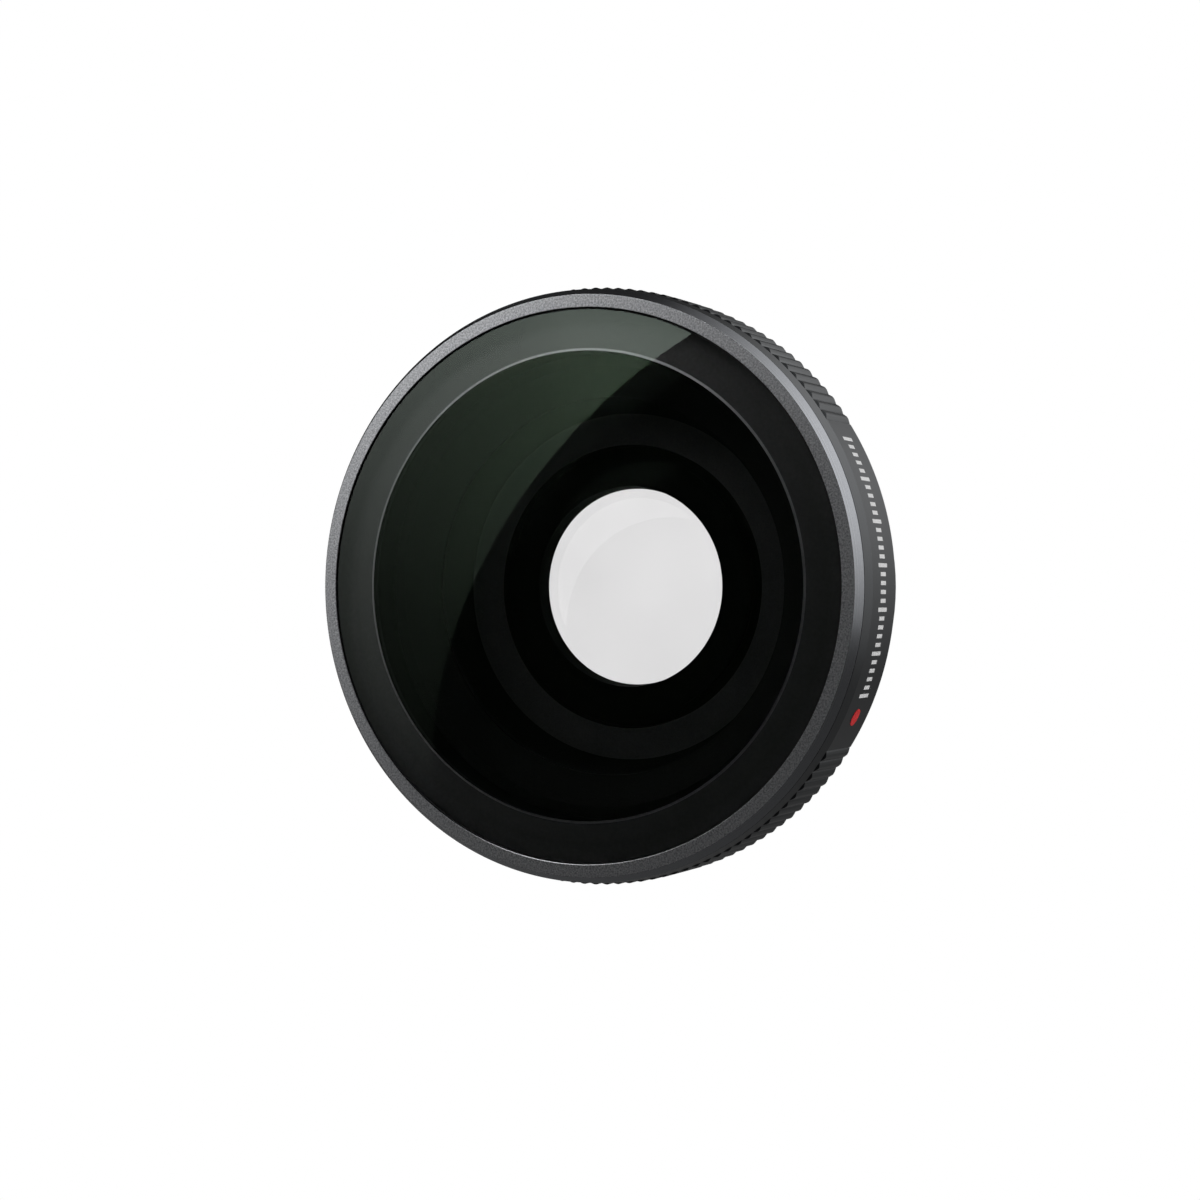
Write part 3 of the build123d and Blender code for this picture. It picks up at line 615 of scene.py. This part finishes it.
grip = {"front": 0.94, "frontRadius": 23.70, "rearRadius": 23.885, "collarEnd": 2.30,
        "relief": 23.62, "ridgeStart": 2.45, "window": 23.89, "valley": 23.83, "height": 0.21,
        "rear": 8.10, "rearRadiusEnd": 23.78, "bore": 19.63, "shoulder": 5.08, "counterbore": 23.20,
        "halfWindow": 32.4, "windowSlack": 0.01, "pitch": 2.4, "stepsPerRidge": 16,
        "flank": (0.0, 0.20, 0.35, 0.49, 0.62, 0.75, 0.86, 0.92, 0.94),
        "reliefStart": 0.02, "reliefRun": 0.09, "ridgeRun": 0.14, "ridgeTail": 0.11, "leastRun": 0.02,
        "round": 0.04, "sharp": 25}


def ridgeRadius(angle):
    # flanks that meet sharply in the valley and in a small round at the crest; no ridges in the window
    g = grip
    turned = angle % 360
    inside = g["halfWindow"] - g["windowSlack"]
    if turned < inside or turned > 360 - inside:
        return None
    step = round((turned - g["halfWindow"]) / g["pitch"] * g["stepsPerRidge"]) % g["stepsPerRidge"]
    rise = min(step, g["stepsPerRidge"] - step)
    return g["valley"] + g["height"] * g["flank"][rise]


def makeGripRing():
    g = grip
    rows = {
        "reliefFront": (g["window"], g["collarEnd"] + g["reliefStart"]),
        "reliefRear": (g["window"], g["collarEnd"] + g["reliefRun"]),
        "ridgeFoot": (g["window"], g["ridgeStart"]),
        "ridgeTop": (g["window"], g["ridgeStart"] + g["ridgeRun"]),
        "ridgeBack": (g["window"], g["rear"] - g["ridgeTail"]),
        "rearEdge": (g["rearRadiusEnd"], g["rear"])}
    profile = [(g["counterbore"], g["front"]), (g["frontRadius"], g["front"]),
               (g["rearRadius"], g["collarEnd"])]
    profile += [rows[name] for name in
                ("reliefFront", "reliefRear", "ridgeFoot", "ridgeTop", "ridgeBack", "rearEdge")]
    profile += [(g["bore"], g["rear"]), (g["bore"], g["shoulder"]), (g["counterbore"], g["shoulder"])]
    steps = round(360 / g["pitch"]) * g["stepsPerRidge"]
    bm = turnProfile(profile, steps)

    def row(point):
        for name, (radius, depth) in rows.items():
            if isAt(point, radius, depth):
                return name
        return None

    for vert in bm.verts:
        name = row(vert.co)
        ridge = ridgeRadius(math.degrees(math.atan2(vert.co.z, vert.co.x)))
        if name is None or ridge is None or name == "rearEdge":
            continue
        radius, depth = rows[name]
        if name in ("reliefFront", "reliefRear"):
            radius = g["relief"]
            if name == "reliefRear":
                depth = g["ridgeStart"]
        elif name == "ridgeFoot":
            radius = min(ridge, g["window"])
        elif name == "ridgeTop":
            radius = ridge
            depth = g["ridgeStart"] + max(ridge - g["window"], g["leastRun"])
        elif name == "ridgeBack":
            radius = ridge
            depth = g["rear"] - (ridge - g["rearRadiusEnd"])
        stretch = radius / axisRadius(vert.co)
        vert.co.x *= stretch
        vert.co.z *= stretch
        vert.co.y = frontFaceY + depth * mm
    softenCorners(bm, [(g["frontRadius"], g["front"])], g["round"])
    markSharp(bm, g["sharp"])
    for edge in ringEdges(bm, g["rearRadius"], g["collarEnd"]):
        edge.smooth = False
    finishPiece(bm, "gripRing", [gripSatin], "lock_ring", ["grip_ring"])


makeGripRing()
makeFromCad("indexDot", "index_dot", enamel, "lock_ring")

# a plain printed scale on the smooth window, where the ring is set against the camera
ticks = {"from": -21.0, "to": 28.5, "step": 1.65, "depth": 4.95, "long": 2.10, "short": 1.25,
         "every": 5, "width": 0.32, "lift": 0.008, "sink": 0.02}


def makeTicks():
    s = ticks
    bm = bmesh.new()
    count = round((s["to"] - s["from"]) / s["step"])
    for index in range(count + 1):
        angle = math.radians(s["from"] + index * s["step"])
        length = s["long"] if index % s["every"] == 0 else s["short"]
        size = Matrix.Diagonal((s["width"] * mm, length * mm, (s["lift"] + s["sink"]) * mm, 1))
        middle = (grip["window"] + (s["lift"] - s["sink"]) / 2) * mm
        home = Matrix.Translation((middle * math.cos(angle), frontFaceY + s["depth"] * mm,
                                   middle * math.sin(angle)))
        facing = Matrix.Rotation(math.radians(90) - angle, 4, "Y")
        bmesh.ops.create_cube(bm, size=1.0, matrix=home @ facing @ size)
    piece = finishPiece(bm, "printedScale", [ink], "lock_ring", [])
    for polygon in piece.data.polygons:
        polygon.use_smooth = False


makeTicks()
print("grip ring made")

# the pieces that stay hidden inside keep their CAD meshes and get their own materials
hiddenPieces = {"bezel_o_ring": rubber, "thrust_washer": ptfe, "stop_pin": steel, "ring_circlip": steel}
for node, material in hiddenPieces.items():
    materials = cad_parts[node].data.materials
    materials.clear()
    materials.append(material)


studio = {"floorDrop": 120.0, "floorRadius": 900.0, "segments": 96, "grain": 3.0, "dark": "E9E9E9",
          "light": "EDEDED", "fadeFrom": 0.16, "fadeTo": 0.24}


def makeFloor():
    # pale painted board under the lens; far from the lens it runs into the white background
    s = studio
    material, tree, shader, place = newMaterial("paleBoard", {"Roughness": 0.8})
    connect(tree, tonesOf(tree, addGrain(tree, place, s["grain"]), s["dark"], s["light"]), shader)
    distance = addNode(tree, "ShaderNodeVectorMath", {"operation": "LENGTH"}, {0: place})
    fade = addNode(tree, "ShaderNodeMapRange", inputs={
        "Value": distance.outputs["Value"], "From Min": s["fadeFrom"], "From Max": s["fadeTo"]})
    path = addNode(tree, "ShaderNodeLightPath").outputs
    seen = addNode(tree, "ShaderNodeMath", {"operation": "MAXIMUM"},
                   {0: path["Is Camera Ray"], 1: path["Is Transmission Ray"]})
    white = addNode(tree, "ShaderNodeEmission", inputs={"Color": (1, 1, 1, 1), "Strength": 1.0})
    amount = addNode(tree, "ShaderNodeMath", {"operation": "MULTIPLY"},
                     {0: fade.outputs["Result"], 1: seen.outputs["Value"]})
    board = addNode(tree, "ShaderNodeMixShader", inputs={
        "Fac": amount.outputs["Value"], 1: shader.outputs["BSDF"], 2: white.outputs["Emission"]})
    # mirror images leave the board out and go on to the room, which shades the lens from below
    clear = addNode(tree, "ShaderNodeBsdfTransparent")
    mix = addNode(tree, "ShaderNodeMixShader", inputs={
        "Fac": path["Is Glossy Ray"], 1: board.outputs["Shader"], 2: clear.outputs["BSDF"]})
    tree.links.new(mix.outputs["Shader"], tree.nodes["Material Output"].inputs["Surface"])
    bm = bmesh.new()
    bmesh.ops.create_circle(bm, cap_ends=True, radius=s["floorRadius"] * mm,
                            segments=s["segments"])
    bmesh.ops.translate(bm, verts=bm.verts, vec=(0, 0, -s["floorDrop"] * mm))
    mesh = bpy.data.meshes.new("floorBoard")
    bm.to_mesh(mesh)
    bm.free()
    mesh.materials.append(material)
    floor = bpy.data.objects.new("floorBoard", mesh)
    bpy.context.scene.collection.objects.link(floor)


def addSoftbox(name, centre, rise, size, radiance):
    # a rectangular diffuser that faces the lens; rise is roughly the direction of its second side
    data = bpy.data.lights.new(name, "AREA")
    data.shape = "RECTANGLE"
    data.size, data.size_y = size
    data.energy = radiance * math.pi * size[0] * size[1]
    lamp = bpy.data.objects.new(name, data)
    back = Vector(centre).normalized()
    side = Vector(rise).cross(back).normalized()
    turn = Matrix((side, back.cross(side), back)).transposed().to_4x4()
    lamp.matrix_world = Matrix.Translation(centre) @ turn
    lamp.visible_camera = False
    bpy.context.scene.collection.objects.link(lamp)
    return lamp


def fadeAcross(lamp, axis, stops):
    # the diffuser's level along its length or its height, as (share of that side, level)
    lamp.data.use_nodes = True
    tree = lamp.data.node_tree
    strength = tree.nodes["Emission"].inputs["Strength"]
    across = addNode(tree, "ShaderNodeSeparateXYZ", inputs={
        "Vector": addNode(tree, "ShaderNodeNewGeometry").outputs["Parametric"]}).outputs[axis]
    level = ramp(tree, across, [(share, (value, value, value, 1)) for share, value in stops])
    if strength.is_linked:
        level = addNode(tree, "ShaderNodeMath", {"operation": "MULTIPLY"},
                        {0: level, 1: strength.links[0].from_socket}).outputs["Value"]
    tree.links.new(level, strength)


lights = {"key": {"normal": (-0.639, 0.566, 0.521), "forward": (-0.51, -0.856, 0.076), "tilt": 19.8,
                  "distance": 0.90, "left": 1.05, "right": 1.25, "radiance": 2.8,
                  "length": [(0.0, 0.0), (0.105, 0.03), (0.21, 0.075), (0.305, 0.125), (0.35, 0.18),
                             (0.44, 0.31), (0.525, 0.47), (0.605, 0.66), (0.66, 0.84), (0.70, 0.97),
                             (0.75, 1.0)]},
          "side": {"azimuth": 35.0, "elevation": 35.0, "distance": 0.90, "size": (1.80, 2.0),
                   "radiance": 1.4, "length": [(0.0, 0.8), (0.3, 1.0), (0.80, 1.0), (0.95, 0.38),
                                               (1.0, 0.22)],
                   "height": [(0.0, 0.32), (0.19, 0.58), (0.30, 0.85), (0.41, 1.0), (0.60, 1.0),
                              (0.72, 0.70), (0.86, 0.22), (1.0, 0.0)]}}


def makeLights():
    # key: a long softbox at the front, left and above. One long edge lies in a plane through the lens,
    # which is the straight edge that the front glass mirrors.
    k = lights["key"]
    normal = Vector(k["normal"]).normalized()
    forward = Vector(k["forward"])
    forward = (forward - forward.dot(normal) * normal).normalized()
    along = normal.cross(forward)
    tilt = math.radians(k["tilt"])
    middle = forward * math.cos(tilt) + normal * math.sin(tilt)
    rise = normal * math.cos(tilt) - forward * math.sin(tilt)
    length = k["left"] + k["right"]
    centre = (middle + along * (k["right"] - k["left"]) / 2) * k["distance"]
    size = (length * k["distance"], 2 * math.tan(tilt) * k["distance"])
    key = addSoftbox("keySoftbox", centre, rise, size, k["radiance"])
    facing = Matrix((along, rise, along.cross(rise))).transposed().to_4x4()
    key.matrix_world = Matrix.Translation(centre) @ facing
    fadeAcross(key, "X", k["length"])
    # side: a wide softbox at the right, reaching round behind the lens, above its middle
    s = lights["side"]
    azimuth, elevation = math.radians(s["azimuth"]), math.radians(s["elevation"])
    centre = Vector((math.cos(azimuth) * math.cos(elevation), math.sin(azimuth) * math.cos(elevation),
                     math.sin(elevation))) * s["distance"]
    side = addSoftbox("sideSoftbox", centre, (0, 0, 1), s["size"], s["radiance"])
    side.visible_transmission = False  # it would stand in the view through the lens
    fadeAcross(side, "X", s["length"])
    fadeAcross(side, "Y", s["height"])


# levels are radiances; the pairs are the cosines to a direction over which a share fades in
room = {"level": 0.03, "belowLevel": 0.0, "behindLevel": 0.13, "viewAxis": (-0.4157, 0.9095, 0),
        "glowFade": (-0.3, 0.9), "floorFade": (0.0, 0.3), "passedFade": (0.05, 0.30),
        "mirroredFade": (0.98, 0.999)}


def makeWorld():
    # dim room light on the object, a little more of it from the floor and from behind. The camera, and
    # what the glass and metal mirror or pass from behind, see the white backdrop.
    world = bpy.data.worlds.new("studioRoom")
    bpy.context.scene.world = world
    world.use_nodes = True
    tree = world.node_tree
    path = addNode(tree, "ShaderNodeLightPath").outputs
    direction = addNode(tree, "ShaderNodeTexCoord").outputs["Generated"]

    def toward(axis, fade, low=0.0, high=1.0):
        share = addNode(tree, "ShaderNodeVectorMath", {"operation": "DOT_PRODUCT"},
                        {0: direction, 1: axis}).outputs["Value"]
        return addNode(tree, "ShaderNodeMapRange", inputs={
            "Value": share, "From Min": fade[0], "From Max": fade[1], "To Min": low, "To Max": high}
            ).outputs["Result"]

    def combine(operation, first, second):
        return addNode(tree, "ShaderNodeMath", {"operation": operation},
                       {0: first, 1: second}).outputs["Value"]

    floorGlow = toward((0, 1, 0), room["glowFade"], room["belowLevel"], room["behindLevel"])
    below = combine("MULTIPLY", toward((0, 0, -1), room["floorFade"]), floorGlow)
    ambient = combine("ADD", below, room["level"])
    passed = combine("MULTIPLY", toward((0, 1, 0), room["passedFade"]), path["Is Transmission Ray"])
    mirrored = combine("MULTIPLY", toward(room["viewAxis"], room["mirroredFade"]),
                       path["Is Glossy Ray"])
    seen = combine("MAXIMUM", combine("MAXIMUM", passed, mirrored), path["Is Camera Ray"])
    level = addNode(tree, "ShaderNodeMix", {"data_type": "FLOAT"},
                    {"Factor": seen, "A": ambient, "B": 1.0})
    background = tree.nodes["Background"]
    background.inputs["Color"].default_value = (1, 1, 1, 1)
    tree.links.new(level.outputs["Result"], background.inputs["Strength"])


camera = {"place": (0.08111, -0.19244, -0.001125), "azimuth": 24.565, "lens": 72.0, "sensor": 36.0,
          "nearest": 0.01}


def makeCamera():
    data = bpy.data.cameras.new("productCamera")
    data.lens = camera["lens"]
    data.sensor_width = camera["sensor"]
    data.sensor_fit = "HORIZONTAL"
    data.clip_start = camera["nearest"]
    body = bpy.data.objects.new("productCamera", data)
    body.matrix_world = (Matrix.Translation(camera["place"])
                         @ Matrix.Rotation(math.radians(camera["azimuth"]), 4, "Z")
                         @ Matrix.Rotation(math.radians(90), 4, "X"))
    bpy.context.scene.collection.objects.link(body)
    bpy.context.scene.camera = body


makeFloor()
makeLights()
makeWorld()
makeCamera()
bpy.context.scene.view_settings.view_transform = "Standard"
print("studio made")
